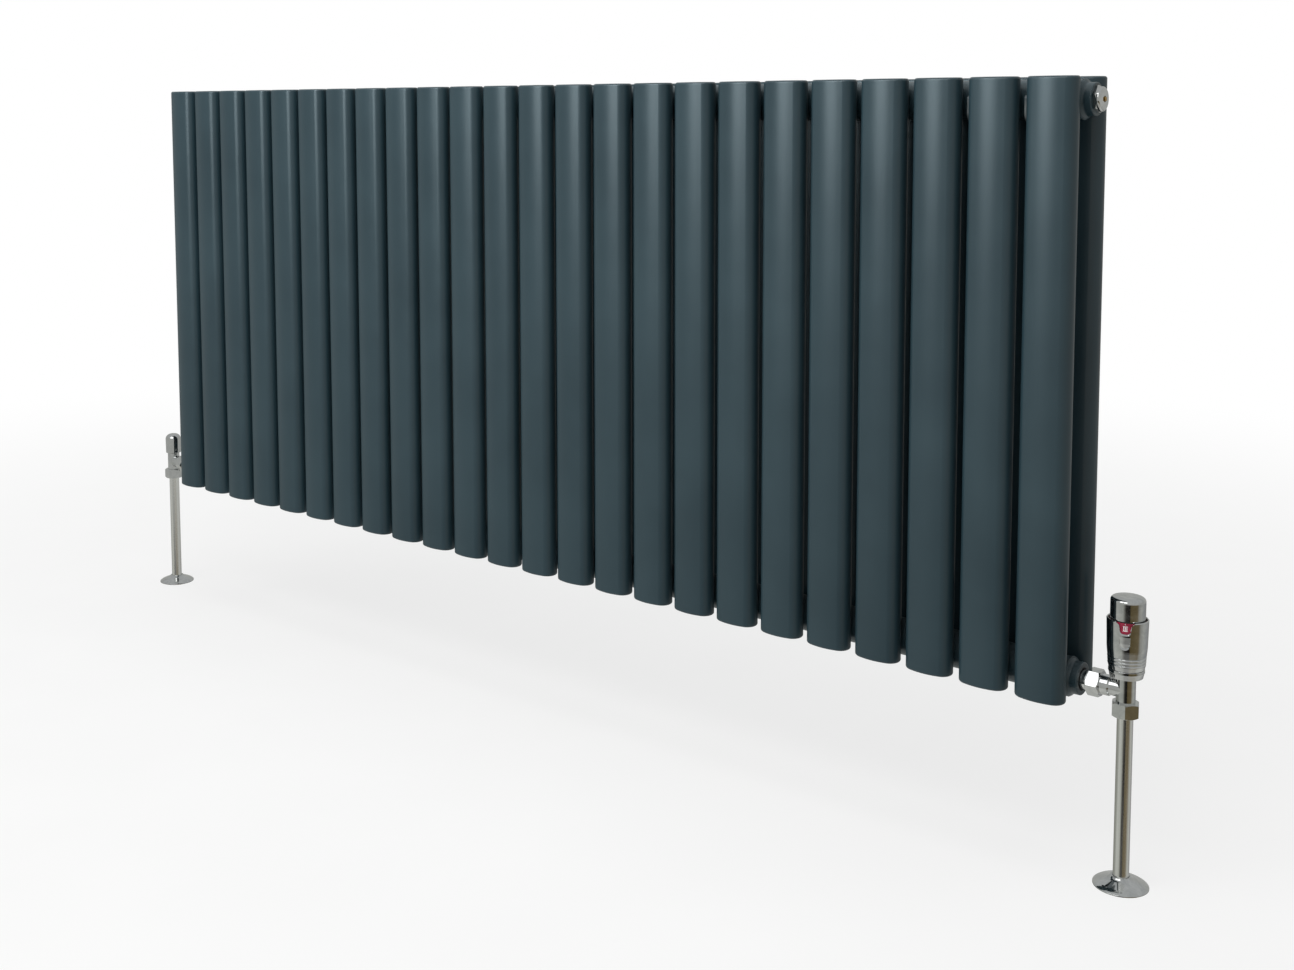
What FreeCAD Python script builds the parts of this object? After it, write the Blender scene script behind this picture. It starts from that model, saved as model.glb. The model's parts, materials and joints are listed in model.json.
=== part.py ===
import FreeCAD, Part
import math
import os

# Double-row oval-column radiator on two wall brackets and two wall spacers, with a thermostatic
# valve on its right and a lockshield valve on its left, each on a 15 mm pipe that rises from the floor.
#
# Frame: millimetres. +X runs to the right along the radiator, -Y is its front, +Z is up.
# The origin lies on the wall, at the centre of the wall fixings.

# ---- radiator ----
COLUMN_COUNT = 24
COLUMN_PITCH = 59.0
COLUMN_HEIGHT = 600.0
COLUMN_WIDTH = 50.0
COLUMN_DEPTH = 28.0
COLUMN_END_RADIUS = 12.2
COLUMN_WALL = 1.5
COLUMN_CAP = 3.0
COLUMN_EDGE_ROUND = 2.5
ROW_SPACING = 62.0
WALL_GAP = 30.0

HEADER_RADIUS = 19.0
HEADER_WALL = 2.0
HEADER_END_X = 708.0
HEADER_BELOW_TOP = 22.0
HEADER_ABOVE_BOTTOM = 18.0
PORT_RADIUS = 5.5

BOSS_RADIUS = 16.0
BOSS_LENGTH = 12.0
BOSS_SPIGOT = 6.0
THREAD_RADIUS = 10.0
THREAD_LENGTH = 14.0
SEAL_RECESS_RADIUS = 11.2
SEAL_RECESS_DEPTH = 2.0
SEAL_MIDDLE_RADIUS = 10.15
SEAL_SECTION_RADIUS = 0.95
PLUG_FLATS = 23.0
PLUG_HEX_LENGTH = 3.5
PLUG_FACE_RADIUS = 11.9
PLUG_LENGTH = 7.2               # from the boss's mouth to the middle of the plug's face

# ---- places that follow from them ----
COLUMN_TOP_Z = COLUMN_HEIGHT / 2
REAR_Y = -(WALL_GAP + COLUMN_DEPTH / 2)
FRONT_Y = REAR_Y - ROW_SPACING
HEADER_Y = (FRONT_Y + REAR_Y) / 2
TOP_HEADER_Z = COLUMN_TOP_Z - HEADER_BELOW_TOP
BOTTOM_HEADER_Z = -COLUMN_TOP_Z + HEADER_ABOVE_BOTTOM
TUBE_END_X = HEADER_END_X - BOSS_LENGTH

# ---- wall brackets ----
BRACKET_COLUMN = 2              # counted from each end of the radiator
ARM_THICKNESS = 2.0
PLATE_THICKNESS = 2.5
PLATE_LOW_Z = 225.0
PLATE_HIGH_Z = 295.0
OUTER_HOLE_Z = 285.0
INNER_HOLE_Z = 235.0
WALL_HOLE_RADIUS = 3.25
LINER_THICKNESS = 1.5
LINER_WIDTH = 5.0
CRADLE_RADIUS = HEADER_RADIUS + LINER_THICKNESS
HOOK_SECTION = 6.0
HOOK_NOSE_RISE = 4.0

# ---- plumbing shared by both valves ----
FLOOR_Z = -476.0
RIGHT_VALVE_X = 750.0
LEFT_VALVE_X = -776.0
PIPE_RADIUS = 7.5
PIPE_WALL = 1.0
WATERWAY_RADIUS = 6.0
FLANGE_RADIUS = 9.5
FLANGE_LENGTH = 6.0
NECK_RADIUS = 8.0
CONE_RADIUS = 9.6
CONE_LENGTH = 3.5
OUTLET_RADIUS = 10.0
OUTLET_LENGTH = 26.5            # from the valve's upright axis to the face that meets the tailpiece
NUT_FLATS = 24.0
UNION_NUT_LENGTH = 12.5
UNION_NUT_OVERLAP = 3.5
BARREL_RADIUS = 9.0
BARREL_BOTTOM = -12.0
SPIGOT_BOTTOM = -20.0
SOCKET_TOP = -13.5
SEAT_Z = -6.0
SEAT_HOLE_RADIUS = 5.5
CHAMBER_RADIUS = 7.0
COMPRESSION_NUT_LENGTH = 14.0
OLIVE_LENGTH = 4.0
NUT_TURN = 20.0                 # degrees that a corner of each compression nut is turned from the front
ROSE_RADIUS = 26.0
ROSE_HEIGHT = 10.0
ROSE_GAP = 0.3

# ---- thermostatic head, heights above the valve's horizontal axis ----
COLLAR_BOTTOM = 13.0
COLLAR_TOP = 21.3
BODY_THREAD_RADIUS = 14.6
SLEEVE_BOTTOM = 21.5
SLEEVE_RIM = 70.0
SLEEVE_BORE = 17.3
DRUM_RADIUS = 16.9
DRUM_BOTTOM = 50.0
DRUM_TOP = 69.5
HEAD_CAP_RADIUS = 16.15
HEAD_CAP_TOP = 91.4
WINDOW_TURN = 14.0              # degrees that the window is turned from the front, towards +X
WINDOW_BOTTOM = 58.7
SCOOP_FLOOR = 45.6              # lower end of the thumb scoop's floor
SCOOP_TOP = 58.0
SCOOP_LIP = 3.5                 # how far the scoop's edge flares outwards
STEM_RADIUS = 2.0
STEM_FIT = 0.05
STEM_TOP = 31.0
DISC_LIFT = 1.75                # gap between the seat and the disc with the dial at III
SPRING_BOTTOM = 16.0
SPRING_TOP = 26.0
SPRING_RADIUS = 3.4
SPRING_WIRE = 0.45
SPRING_TURNS = 4
SPRING_FIT = 0.05

# ---- lockshield valve, heights above its horizontal axis ----
GLAND_TOP = 19.0
SPINDLE_RADIUS = 3.0
SPINDLE_TOP = 29.0
PLUG_LIFT = 1.35                # gap between the seat and the plug as the valve is left set
SHIELD_CAP_BOTTOM = 14.3
SHIELD_CAP_TOP = 44.0
SHIELD_CAP_RADIUS = 11.8

UP = FreeCAD.Vector(0, 0, 1)
ORIGIN = FreeCAD.Vector(0, 0, 0)


# ---- helpers ----

def rounded_wire(corners):
    """Closed wire in the XZ plane through (x, z) or (x, z, radius) corners; a radius rounds its corner."""
    edges = []
    starts = []
    ends = []
    middles = []
    count = len(corners)
    for index in range(count):
        corner = FreeCAD.Vector(corners[index][0], 0, corners[index][1])
        radius = corners[index][2] if len(corners[index]) > 2 else 0.0
        before = corners[index - 1]
        after = corners[(index + 1) % count]
        to_before = (FreeCAD.Vector(before[0], 0, before[1]) - corner).normalize()
        to_after = (FreeCAD.Vector(after[0], 0, after[1]) - corner).normalize()
        if radius == 0.0:
            starts.append(corner)
            ends.append(corner)
            middles.append(None)
            continue
        half_angle = to_before.getAngle(to_after) / 2
        setback = radius / math.tan(half_angle)
        bisector = (to_before + to_after).normalize()
        centre = corner + bisector * (radius / math.sin(half_angle))
        starts.append(corner + to_before * setback)
        ends.append(corner + to_after * setback)
        middles.append(centre - bisector * radius)
    for index in range(count):
        if middles[index] is not None:
            edges.append(Part.Arc(starts[index], middles[index], ends[index]).toShape())
        following = starts[(index + 1) % count]
        if (following - ends[index]).Length > 1e-6:
            edges.append(Part.LineSegment(ends[index], following).toShape())
    return Part.Wire(edges)


def turned(corners):
    """Solid of revolution about Z, from a closed outline of (radius, height[, rounding]) corners."""
    return Part.Face(rounded_wire(corners)).revolve(ORIGIN, UP, 360)


def cylinder(radius, bottom, top):
    return Part.makeCylinder(radius, top - bottom, FreeCAD.Vector(0, 0, bottom))


def ring(outer, inner, bottom, top):
    return cylinder(outer, bottom, top).cut(cylinder(inner, bottom - 1, top + 1))


def hexagon(flats, bottom, top, chamfer=1.2, turn=0.0):
    """Hexagonal prism with turned-off corners; turn is the angle of one corner from +X, in degrees."""
    corner_radius = flats / math.sqrt(3)
    points = []
    for side in range(7):
        angle = math.radians(turn + 60 * side)
        across = corner_radius * math.cos(angle)
        along = corner_radius * math.sin(angle)
        points.append(FreeCAD.Vector(across, along, bottom))
    prism = Part.Face(Part.makePolygon(points)).extrude(UP * (top - bottom))
    blank = turned([
        (0, bottom),
        (corner_radius - chamfer * 1.6, bottom),
        (corner_radius, bottom + chamfer),
        (corner_radius, top - chamfer),
        (corner_radius - chamfer * 1.6, top),
        (0, top),
    ])
    return prism.common(blank)


def facing(shape, side, x, y, z):
    """Turns a shape made along +Z to point along +X (side 1) or -X (side -1), and puts it at x, y, z."""
    placed = shape.copy()
    placed.rotate(ORIGIN, FreeCAD.Vector(0, 1, 0), 90 * side)
    placed.translate(FreeCAD.Vector(x, y, z))
    return placed


def upright(shape, x, y, z):
    placed = shape.copy()
    placed.translate(FreeCAD.Vector(x, y, z))
    return placed


def at_valve(shape, valve_x):
    return upright(shape, valve_x, HEADER_Y, BOTTOM_HEADER_Z)


def column_x(index):
    return (index - (COLUMN_COUNT - 1) / 2) * COLUMN_PITCH


def save(name, *shapes):
    body = shapes[0] if len(shapes) == 1 else Part.makeCompound(list(shapes))
    body.exportStep("parts/" + name + ".step")


# ---- radiator ----

def oval(inset, bottom, top):
    """Upright oval rod of a column's outline, made of four tangent arcs and drawn inwards by inset."""
    end_radius = COLUMN_END_RADIUS - inset
    side_radius = side_arc_radius() - inset
    half_width = COLUMN_WIDTH / 2 - inset
    half_depth = COLUMN_DEPTH / 2 - inset
    end_centre = half_width - end_radius
    side_centre = side_radius - half_depth
    turn = math.atan2(side_centre, end_centre)
    meet_x = end_centre + end_radius * math.cos(turn)
    meet_y = end_radius * math.sin(turn)
    corners = [(meet_x, -meet_y), (meet_x, meet_y), (-meet_x, meet_y), (-meet_x, -meet_y)]
    middles = [(half_width, 0), (0, half_depth), (-half_width, 0), (0, -half_depth)]
    arcs = []
    for index in range(4):
        points = [corners[index], middles[index], corners[(index + 1) % 4]]
        arcs.append(Part.Arc(*[FreeCAD.Vector(x, y, bottom) for x, y in points]).toShape())
    return Part.Face(Part.Wire(arcs)).extrude(UP * (top - bottom))


def side_arc_radius():
    """Radius of an oval's long sides, from its width, its depth and the radius of its ends."""
    half_depth = COLUMN_DEPTH / 2
    end_centre = COLUMN_WIDTH / 2 - COLUMN_END_RADIUS
    spread = end_centre ** 2 + half_depth ** 2 - COLUMN_END_RADIUS ** 2
    return spread / (2 * (half_depth - COLUMN_END_RADIUS))


def header_blank(z):
    """Solid rod as thick as a header, which notches the columns."""
    length = 2 * TUBE_END_X
    start = FreeCAD.Vector(-TUBE_END_X, HEADER_Y, z)
    return Part.makeCylinder(HEADER_RADIUS, length, start, FreeCAD.Vector(1, 0, 0))


def column(y):
    """Closed oval tube with welded end caps, notched where the headers run, at x = 0."""
    outside = oval(0, -COLUMN_TOP_Z, COLUMN_TOP_Z)
    rims = [edge for edge in outside.Edges if abs(edge.BoundBox.ZLength) < 0.01]
    outside = outside.makeFillet(COLUMN_EDGE_ROUND, rims)
    inside_top = COLUMN_TOP_Z - COLUMN_CAP
    inside = oval(COLUMN_WALL, -inside_top, inside_top)
    tube = upright(outside.cut(inside), 0, y, 0)
    return tube.cut([header_blank(TOP_HEADER_Z), header_blank(BOTTOM_HEADER_Z)])


def header(z):
    """Cross tube between the two rows, with a water port to each column of each row."""
    bore = Part.makeCylinder(
        HEADER_RADIUS - HEADER_WALL, 2 * TUBE_END_X + 2, FreeCAD.Vector(-TUBE_END_X - 1, HEADER_Y, z),
        FreeCAD.Vector(1, 0, 0))
    ports = []
    for index in range(COLUMN_COUNT):
        start = FreeCAD.Vector(column_x(index), HEADER_Y - HEADER_RADIUS - 1, z)
        ports.append(Part.makeCylinder(PORT_RADIUS, 2 * HEADER_RADIUS + 2, start, FreeCAD.Vector(0, 1, 0)))
    return header_blank(z).cut(bore).cut(ports)


def end_boss():
    """Threaded bush welded into a header's end, made along +Z with its mouth at z = 0."""
    inner_radius = HEADER_RADIUS - HEADER_WALL
    return turned([
        (THREAD_RADIUS, -BOSS_LENGTH - BOSS_SPIGOT),
        (inner_radius, -BOSS_LENGTH - BOSS_SPIGOT),
        (inner_radius, -BOSS_LENGTH),
        (HEADER_RADIUS, -BOSS_LENGTH),
        (HEADER_RADIUS, -BOSS_LENGTH + 1.6, 1.2),
        (BOSS_RADIUS, -BOSS_LENGTH + 4.2, 2.4),
        (BOSS_RADIUS, 0, 1.0),
        (SEAL_RECESS_RADIUS, 0),
        (SEAL_RECESS_RADIUS, -SEAL_RECESS_DEPTH),
        (THREAD_RADIUS, -SEAL_RECESS_DEPTH),
    ])


def thread_seal():
    """Rubber ring in the recess of a boss, made along +Z with the boss's mouth at z = 0."""
    centre = FreeCAD.Vector(0, 0, -SEAL_RECESS_DEPTH / 2)
    return Part.makeTorus(SEAL_MIDDLE_RADIUS, SEAL_SECTION_RADIUS, centre, UP)


def thread_outline():
    """Outline of a male thread with the groove for its seal, from its inner end to the boss's mouth."""
    groove = SEAL_MIDDLE_RADIUS - SEAL_SECTION_RADIUS
    return [
        (THREAD_RADIUS - 0.8, -THREAD_LENGTH),
        (THREAD_RADIUS, -THREAD_LENGTH + 0.8),
        (THREAD_RADIUS, -SEAL_RECESS_DEPTH),
        (groove, -SEAL_RECESS_DEPTH),
        (groove, 0),
    ]


def plug_outside():
    """Screw-in plug with a hexagon and a round domed face, made along +Z with the boss's mouth at z = 0."""
    thread = turned([(0, -THREAD_LENGTH)] + thread_outline() + [(0, 0)])
    head = hexagon(PLUG_FLATS, 0, PLUG_HEX_LENGTH, turn=10.0)
    dome = turned([
        (0, PLUG_HEX_LENGTH),
        (PLUG_FACE_RADIUS, PLUG_HEX_LENGTH),
        (PLUG_FACE_RADIUS, PLUG_LENGTH - 0.6, 2.2),
        (0, PLUG_LENGTH),
    ])
    return thread.fuse([head, dome]).removeSplitter()


def vent_plug():
    """Plug with a screw-in bleed needle and the small side outlet that the air leaves by."""
    needle_way = turned([(0, -THREAD_LENGTH - 1), (1.2, -THREAD_LENGTH - 1), (1.2, -5.0), (3.05, -3.0),
                         (3.05, 8.0), (0, 8.0)])
    outlet = Part.makeCylinder(1.0, 14.0, FreeCAD.Vector(0, 0, 2.4), FreeCAD.Vector(1, 0, 0))
    return plug_outside().cut([needle_way, outlet])


def vent_screw():
    """Bleed needle with the square that a radiator key turns."""
    needle = turned([(0, -4.6), (1.0, -3.9), (2.7, -2.2), (3.0, -1.6), (3.0, 6.2, 0.4), (0, 6.2)])
    square = Part.makeBox(3.6, 3.6, 2.2, FreeCAD.Vector(-1.8, -1.8, 6.0))
    return needle.fuse(square)


# ---- wall brackets ----

def plate(middle_x, low_z, high_z, hole_heights):
    """Wall plate as wide as one column's pitch, with its screw holes."""
    width = COLUMN_PITCH + ARM_THICKNESS
    sheet = Part.makeBox(width, PLATE_THICKNESS, high_z - low_z,
                         FreeCAD.Vector(middle_x - width / 2, -PLATE_THICKNESS, low_z))
    holes = []
    for height in hole_heights:
        start = FreeCAD.Vector(middle_x, -PLATE_THICKNESS - 1, height)
        holes.append(Part.makeCylinder(WALL_HOLE_RADIUS, PLATE_THICKNESS + 2, start, FreeCAD.Vector(0, 1, 0)))
    return sheet.cut(holes)


def arm(outline, x):
    """Upright plate in the YZ plane, centred on x, from (y, z[, rounding]) corners."""
    face = Part.Face(rounded_wire(outline))
    face.rotate(ORIGIN, UP, 90)
    face.translate(FreeCAD.Vector(x - ARM_THICKNESS / 2, 0, 0))
    return face.extrude(FreeCAD.Vector(ARM_THICKNESS, 0, 0))


def rod(radius, x, y, z, half_length):
    start = FreeCAD.Vector(x - half_length, y, z)
    return Part.makeCylinder(radius, 2 * half_length, start, FreeCAD.Vector(1, 0, 0))


def arm_places(middle_x):
    return (middle_x - COLUMN_PITCH / 2, middle_x + COLUMN_PITCH / 2)


def upper_bracket(middle_x):
    """Wall plate with two arms that reach between the rear columns and hook under the top header."""
    nose_y = HEADER_Y - CRADLE_RADIUS - HOOK_SECTION
    nose_top = TOP_HEADER_Z + HOOK_NOSE_RISE
    hook_bottom = TOP_HEADER_Z - CRADLE_RADIUS - HOOK_SECTION
    back_y = HEADER_Y + CRADLE_RADIUS
    outline = [
        (0, PLATE_LOW_Z),
        (0, PLATE_HIGH_Z),
        (-8.0, PLATE_HIGH_Z, 3.0),
        (back_y + 3.0, nose_top, 4.0),
        (back_y, nose_top, 1.0),
        (back_y, TOP_HEADER_Z),
        (HEADER_Y - CRADLE_RADIUS, TOP_HEADER_Z),
        (HEADER_Y - CRADLE_RADIUS, nose_top, 0.8),
        (nose_y, nose_top, 2.5),
        (nose_y, hook_bottom + 6.0, 12.0),
        (HEADER_Y, hook_bottom - 4.0, 20.0),
    ]
    cradles = []
    arms = []
    for x in arm_places(middle_x):
        arms.append(arm(outline, x))
        cradles.append(rod(CRADLE_RADIUS, x, HEADER_Y, TOP_HEADER_Z, ARM_THICKNESS))
    holes = (OUTER_HOLE_Z, INNER_HOLE_Z)
    return plate(middle_x, PLATE_LOW_Z, PLATE_HIGH_Z, holes).fuse(arms).cut(cradles).removeSplitter()


def lower_bracket(middle_x):
    """Wall spacer with two arms whose ends cup the back of the bottom header."""
    end_y = HEADER_Y + HEADER_RADIUS * 0.62
    outline = [
        (0, -PLATE_HIGH_Z),
        (end_y, BOTTOM_HEADER_Z - 13.0, 3.0),
        (end_y, BOTTOM_HEADER_Z + 15.0, 3.0),
        (-14.0, -PLATE_LOW_Z - 8.0, 8.0),
        (0, -PLATE_LOW_Z),
    ]
    cradles = []
    arms = []
    for x in arm_places(middle_x):
        arms.append(arm(outline, x))
        cradles.append(rod(CRADLE_RADIUS, x, HEADER_Y, BOTTOM_HEADER_Z, ARM_THICKNESS))
    holes = (-OUTER_HOLE_Z, -INNER_HOLE_Z)
    return plate(middle_x, -PLATE_HIGH_Z, -PLATE_LOW_Z, holes).fuse(arms).cut(cradles).removeSplitter()


def liner(x, z, low_y, high_y, low_z, high_z):
    """Plastic saddle between a bracket arm and a header: the part of a thin ring inside the given box."""
    half = LINER_WIDTH / 2
    hoop = rod(CRADLE_RADIUS, x, HEADER_Y, z, half).cut(rod(HEADER_RADIUS, x, HEADER_Y, z, half + 1))
    window = Part.makeBox(LINER_WIDTH, high_y - low_y, high_z - low_z, FreeCAD.Vector(x - half, low_y, low_z))
    return hoop.common(window)


def bracket_liners():
    liners = []
    outer = CRADLE_RADIUS + 1
    for middle_x in bracket_places():
        for x in arm_places(middle_x):
            liners.append(liner(x, TOP_HEADER_Z, HEADER_Y - outer, HEADER_Y + outer,
                                TOP_HEADER_Z - outer, TOP_HEADER_Z))
            liners.append(liner(x, BOTTOM_HEADER_Z, HEADER_Y + HEADER_RADIUS * 0.66, HEADER_Y + outer,
                                BOTTOM_HEADER_Z - outer, BOTTOM_HEADER_Z + outer))
    return liners


def bracket_places():
    return (column_x(BRACKET_COLUMN - 1), column_x(COLUMN_COUNT - BRACKET_COLUMN))


# ---- plumbing shared by both valves ----

def tailpiece(reach):
    """Screws into a boss and carries the union nut; made along +Z from the boss's mouth, reach long."""
    outline = [(WATERWAY_RADIUS, -THREAD_LENGTH)] + thread_outline() + [
        (FLANGE_RADIUS, 0),
        (FLANGE_RADIUS, FLANGE_LENGTH, 0.8),
        (NECK_RADIUS, FLANGE_LENGTH),
        (NECK_RADIUS, reach - CONE_LENGTH),
        (CONE_RADIUS, reach - CONE_LENGTH),
        (CONE_RADIUS, reach),
        (WATERWAY_RADIUS, reach),
    ]
    return turned(outline)


def union_nut(reach):
    """Pulls the tailpiece against the valve; made along +Z from the boss's mouth."""
    top = reach + UNION_NUT_OVERLAP
    bottom = top - UNION_NUT_LENGTH
    shoulder = reach - CONE_LENGTH
    blank = hexagon(NUT_FLATS, bottom, top, turn=90.0)
    neck_way = cylinder(NECK_RADIUS + 0.1, bottom - 1, shoulder)
    outlet_way = cylinder(OUTLET_RADIUS, shoulder, top + 1)
    return blank.cut([neck_way, outlet_way])


def tail_reach(valve_x):
    """Distance from the boss's mouth to the face where the tailpiece meets the valve."""
    return abs(valve_x) - OUTLET_LENGTH - HEADER_END_X


def valve_body(side, top_corners):
    """Angle valve body about its upright axis, with the outlet towards the radiator.

    side is 1 for the valve on the right, whose outlet points to -X, and -1 for the one on the left.
    top_corners are the outside corners of the body above the barrel.
    """
    barrel = turned([
        (0, SPIGOT_BOTTOM),
        (BARREL_RADIUS, SPIGOT_BOTTOM),
        (BARREL_RADIUS, BARREL_BOTTOM),
    ] + top_corners)
    outlet = turned([
        (0, 0),
        (OUTLET_RADIUS - 1.2, 0),
        (OUTLET_RADIUS - 1.2, 14.0, 0.8),
        (OUTLET_RADIUS, 15.0, 0.5),
        (OUTLET_RADIUS, OUTLET_LENGTH),
        (0, OUTLET_LENGTH),
    ])
    outside = barrel.fuse(facing(outlet, -side, 0, 0, 0))
    chamber_top = top_corners[-1][1]
    ways = [
        cylinder(PIPE_RADIUS, SPIGOT_BOTTOM - 1, SOCKET_TOP),
        cylinder(SEAT_HOLE_RADIUS, SOCKET_TOP - 1, SEAT_Z + 1),
        ring(CHAMBER_RADIUS, SEAT_HOLE_RADIUS + 1, SEAT_Z - 1, SEAT_Z),
        cylinder(CHAMBER_RADIUS, SEAT_Z, chamber_top + 1),
        facing(cylinder(WATERWAY_RADIUS - 0.3, 0, OUTLET_LENGTH + 1), -side, 0, 0, 0),
    ]
    return outside.cut(ways)


def compression_nut():
    bottom = BARREL_BOTTOM - COMPRESSION_NUT_LENGTH
    floor = SPIGOT_BOTTOM - OLIVE_LENGTH
    blank = hexagon(NUT_FLATS, bottom, BARREL_BOTTOM, turn=-90.0 + NUT_TURN)
    bore = turned([
        (0, bottom - 1),
        (PIPE_RADIUS, bottom - 1),
        (PIPE_RADIUS, floor),
        (BARREL_RADIUS, floor + 1.5),
        (BARREL_RADIUS, BARREL_BOTTOM + 1),
        (0, BARREL_BOTTOM + 1),
    ])
    return blank.cut(bore)


def olive():
    """Soft brass ring that the nut squeezes onto the pipe."""
    bottom = SPIGOT_BOTTOM - OLIVE_LENGTH
    return turned([
        (PIPE_RADIUS, bottom + 0.4),
        (PIPE_RADIUS + 0.5, bottom + 0.6),
        (BARREL_RADIUS - 0.2, bottom + 1.6),
        (BARREL_RADIUS - 0.2, SPIGOT_BOTTOM - 0.8),
        (BARREL_RADIUS - 0.7, SPIGOT_BOTTOM),
        (PIPE_RADIUS, SPIGOT_BOTTOM),
    ])


def pipe(valve_x):
    top = BOTTOM_HEADER_Z + SOCKET_TOP
    return upright(ring(PIPE_RADIUS, PIPE_RADIUS - PIPE_WALL, FLOOR_Z, top), valve_x, HEADER_Y, 0)


def floor_rose(valve_x):
    """Domed cover round the pipe where it leaves the floor, loose on the pipe."""
    bore = PIPE_RADIUS + ROSE_GAP
    shell = turned([
        (bore, ROSE_HEIGHT - 4.0),
        (bore, ROSE_HEIGHT, 0.4),
        (bore + 1.5, ROSE_HEIGHT, 0.8),
        (bore + 3.6, ROSE_HEIGHT - 2.2, 6.0),
        (ROSE_RADIUS - 2.5, 3.0, 16.0),
        (ROSE_RADIUS, 0.9, 0.4),
        (ROSE_RADIUS, 0),
        (ROSE_RADIUS - 1.6, 0),
        (ROSE_RADIUS - 4.0, 1.6, 10.0),
        (bore + 4.0, ROSE_HEIGHT - 4.0, 4.0),
    ])
    return upright(shell, valve_x, HEADER_Y, FLOOR_Z)


# ---- thermostatic valve ----

def trv_body():
    top = COLLAR_TOP - 1.8
    return at_valve(valve_body(1, [
        (BARREL_RADIUS, COLLAR_BOTTOM + 0.4, 0.4),
        (BODY_THREAD_RADIUS, COLLAR_BOTTOM + 1.0),
        (BODY_THREAD_RADIUS, top),
        (0, top),
    ]), RIGHT_VALVE_X)


def trv_insert():
    """Screws into the body; guides the stem and seats its spring."""
    body_top = COLLAR_TOP - 1.8
    outside = turned([
        (0, 8.0),
        (CHAMBER_RADIUS - 0.6, 8.0),
        (CHAMBER_RADIUS, 9.0),
        (CHAMBER_RADIUS, body_top),
        (8.2, body_top),
        (8.2, body_top + 2.6, 0.5),
        (6.4, body_top + 2.6),
        (6.4, body_top + 4.6, 0.5),
        (0, body_top + 4.6),
    ])
    stem_way = cylinder(STEM_RADIUS + STEM_FIT, 7.0, SPRING_BOTTOM + 1)
    spring_way = cylinder(4.7, SPRING_BOTTOM, body_top + 6.0)
    return at_valve(outside.cut([stem_way, spring_way]), RIGHT_VALVE_X)


def trv_stem():
    """Stainless pin with the collar that its spring lifts and the carrier that holds the disc."""
    carrier = SEAT_Z + DISC_LIFT + 1.5
    pin = cylinder(STEM_RADIUS, carrier, STEM_TOP)
    spring_collar = cylinder(4.2, SPRING_TOP, SPRING_TOP + 1.2)
    cup = turned([
        (0, carrier),
        (6.2, carrier),
        (6.2, carrier + 2.0, 0.5),
        (3.0, carrier + 2.0),
        (0, carrier + 4.0),
    ])
    return at_valve(pin.fuse([spring_collar, cup]).removeSplitter(), RIGHT_VALVE_X)


def trv_disc():
    """Rubber disc that closes on the seat."""
    bottom = SEAT_Z + DISC_LIFT
    top = bottom + 1.5
    return at_valve(turned([(0, bottom), (6.2, bottom, 0.4), (6.2, top), (0, top)]), RIGHT_VALVE_X)


def trv_stem_spring():
    """Coil whose every turn is a level half ring and a sloping half ring, which meet without a kink."""
    section = Part.Face(Part.Wire(Part.makeCircle(SPRING_WIRE, ORIGIN, FreeCAD.Vector(0, 1, 0))))
    bottom = SPRING_BOTTOM + SPRING_WIRE + SPRING_FIT
    rise = (SPRING_TOP - SPRING_WIRE - SPRING_FIT - bottom) / SPRING_TURNS
    slope_axis = FreeCAD.Vector(-rise, 0, 2 * SPRING_RADIUS)
    halves = []
    for turn in range(SPRING_TURNS):
        low = bottom + turn * rise
        level = upright(section, SPRING_RADIUS, 0, low)
        halves.append(level.revolve(FreeCAD.Vector(0, 0, low), UP, 180))
        sloping = upright(section, -SPRING_RADIUS, 0, low)
        halves.append(sloping.revolve(FreeCAD.Vector(0, 0, low + rise / 2), slope_axis, 180))
    last = upright(section, SPRING_RADIUS, 0, bottom + SPRING_TURNS * rise)
    halves.append(last.revolve(FreeCAD.Vector(0, 0, bottom + SPRING_TURNS * rise), UP, 180))
    return at_valve(halves[0].fuse(halves[1:]).removeSplitter(), RIGHT_VALVE_X)


def trv_fixing_collar():
    """Ring nut that fastens the head to the valve body."""
    return at_valve(turned([
        (BODY_THREAD_RADIUS, COLLAR_BOTTOM),
        (15.2, COLLAR_BOTTOM, 0.3),
        (16.2, COLLAR_TOP - 3.6, 0.6),
        (16.6, COLLAR_TOP - 2.8, 0.4),
        (16.6, COLLAR_TOP, 0.4),
        (10.0, COLLAR_TOP),
        (10.0, COLLAR_TOP - 1.5),
        (BODY_THREAD_RADIUS, COLLAR_TOP - 1.5),
    ]), RIGHT_VALVE_X)


def facing_window(shape):
    """Turns a cutter that was made along -Y to where the sleeve's window faces."""
    turned_shape = shape.copy()
    turned_shape.rotate(ORIGIN, UP, WINDOW_TURN)
    return turned_shape


def window_wire(y, grow):
    """Shield-shaped outline of the window in the plane y, grown outwards by grow."""
    wire = rounded_wire([
        (-12.0 - grow, SLEEVE_RIM + 2.0),
        (-5.4 - grow, SLEEVE_RIM - 2.6, 4.0),
        (-4.4 - grow, WINDOW_BOTTOM - grow, 3.4),
        (4.4 + grow, WINDOW_BOTTOM - grow, 3.4),
        (5.4 + grow, SLEEVE_RIM - 2.6, 4.0),
        (12.0 + grow, SLEEVE_RIM + 2.0),
    ])
    wire.translate(FreeCAD.Vector(0, y, 0))
    return wire


def scoop_wire(y, grow):
    """Rounded outline of the thumb scoop in the plane y, grown outwards by grow."""
    half_width = 3.4 + grow
    bottom = SCOOP_FLOOR - grow
    corner = half_width - 0.1
    wire = rounded_wire([
        (-half_width, SCOOP_TOP),
        (-half_width, bottom, corner),
        (half_width, bottom, corner),
        (half_width, SCOOP_TOP),
    ])
    wire.translate(FreeCAD.Vector(0, y, 0))
    return wire


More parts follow.
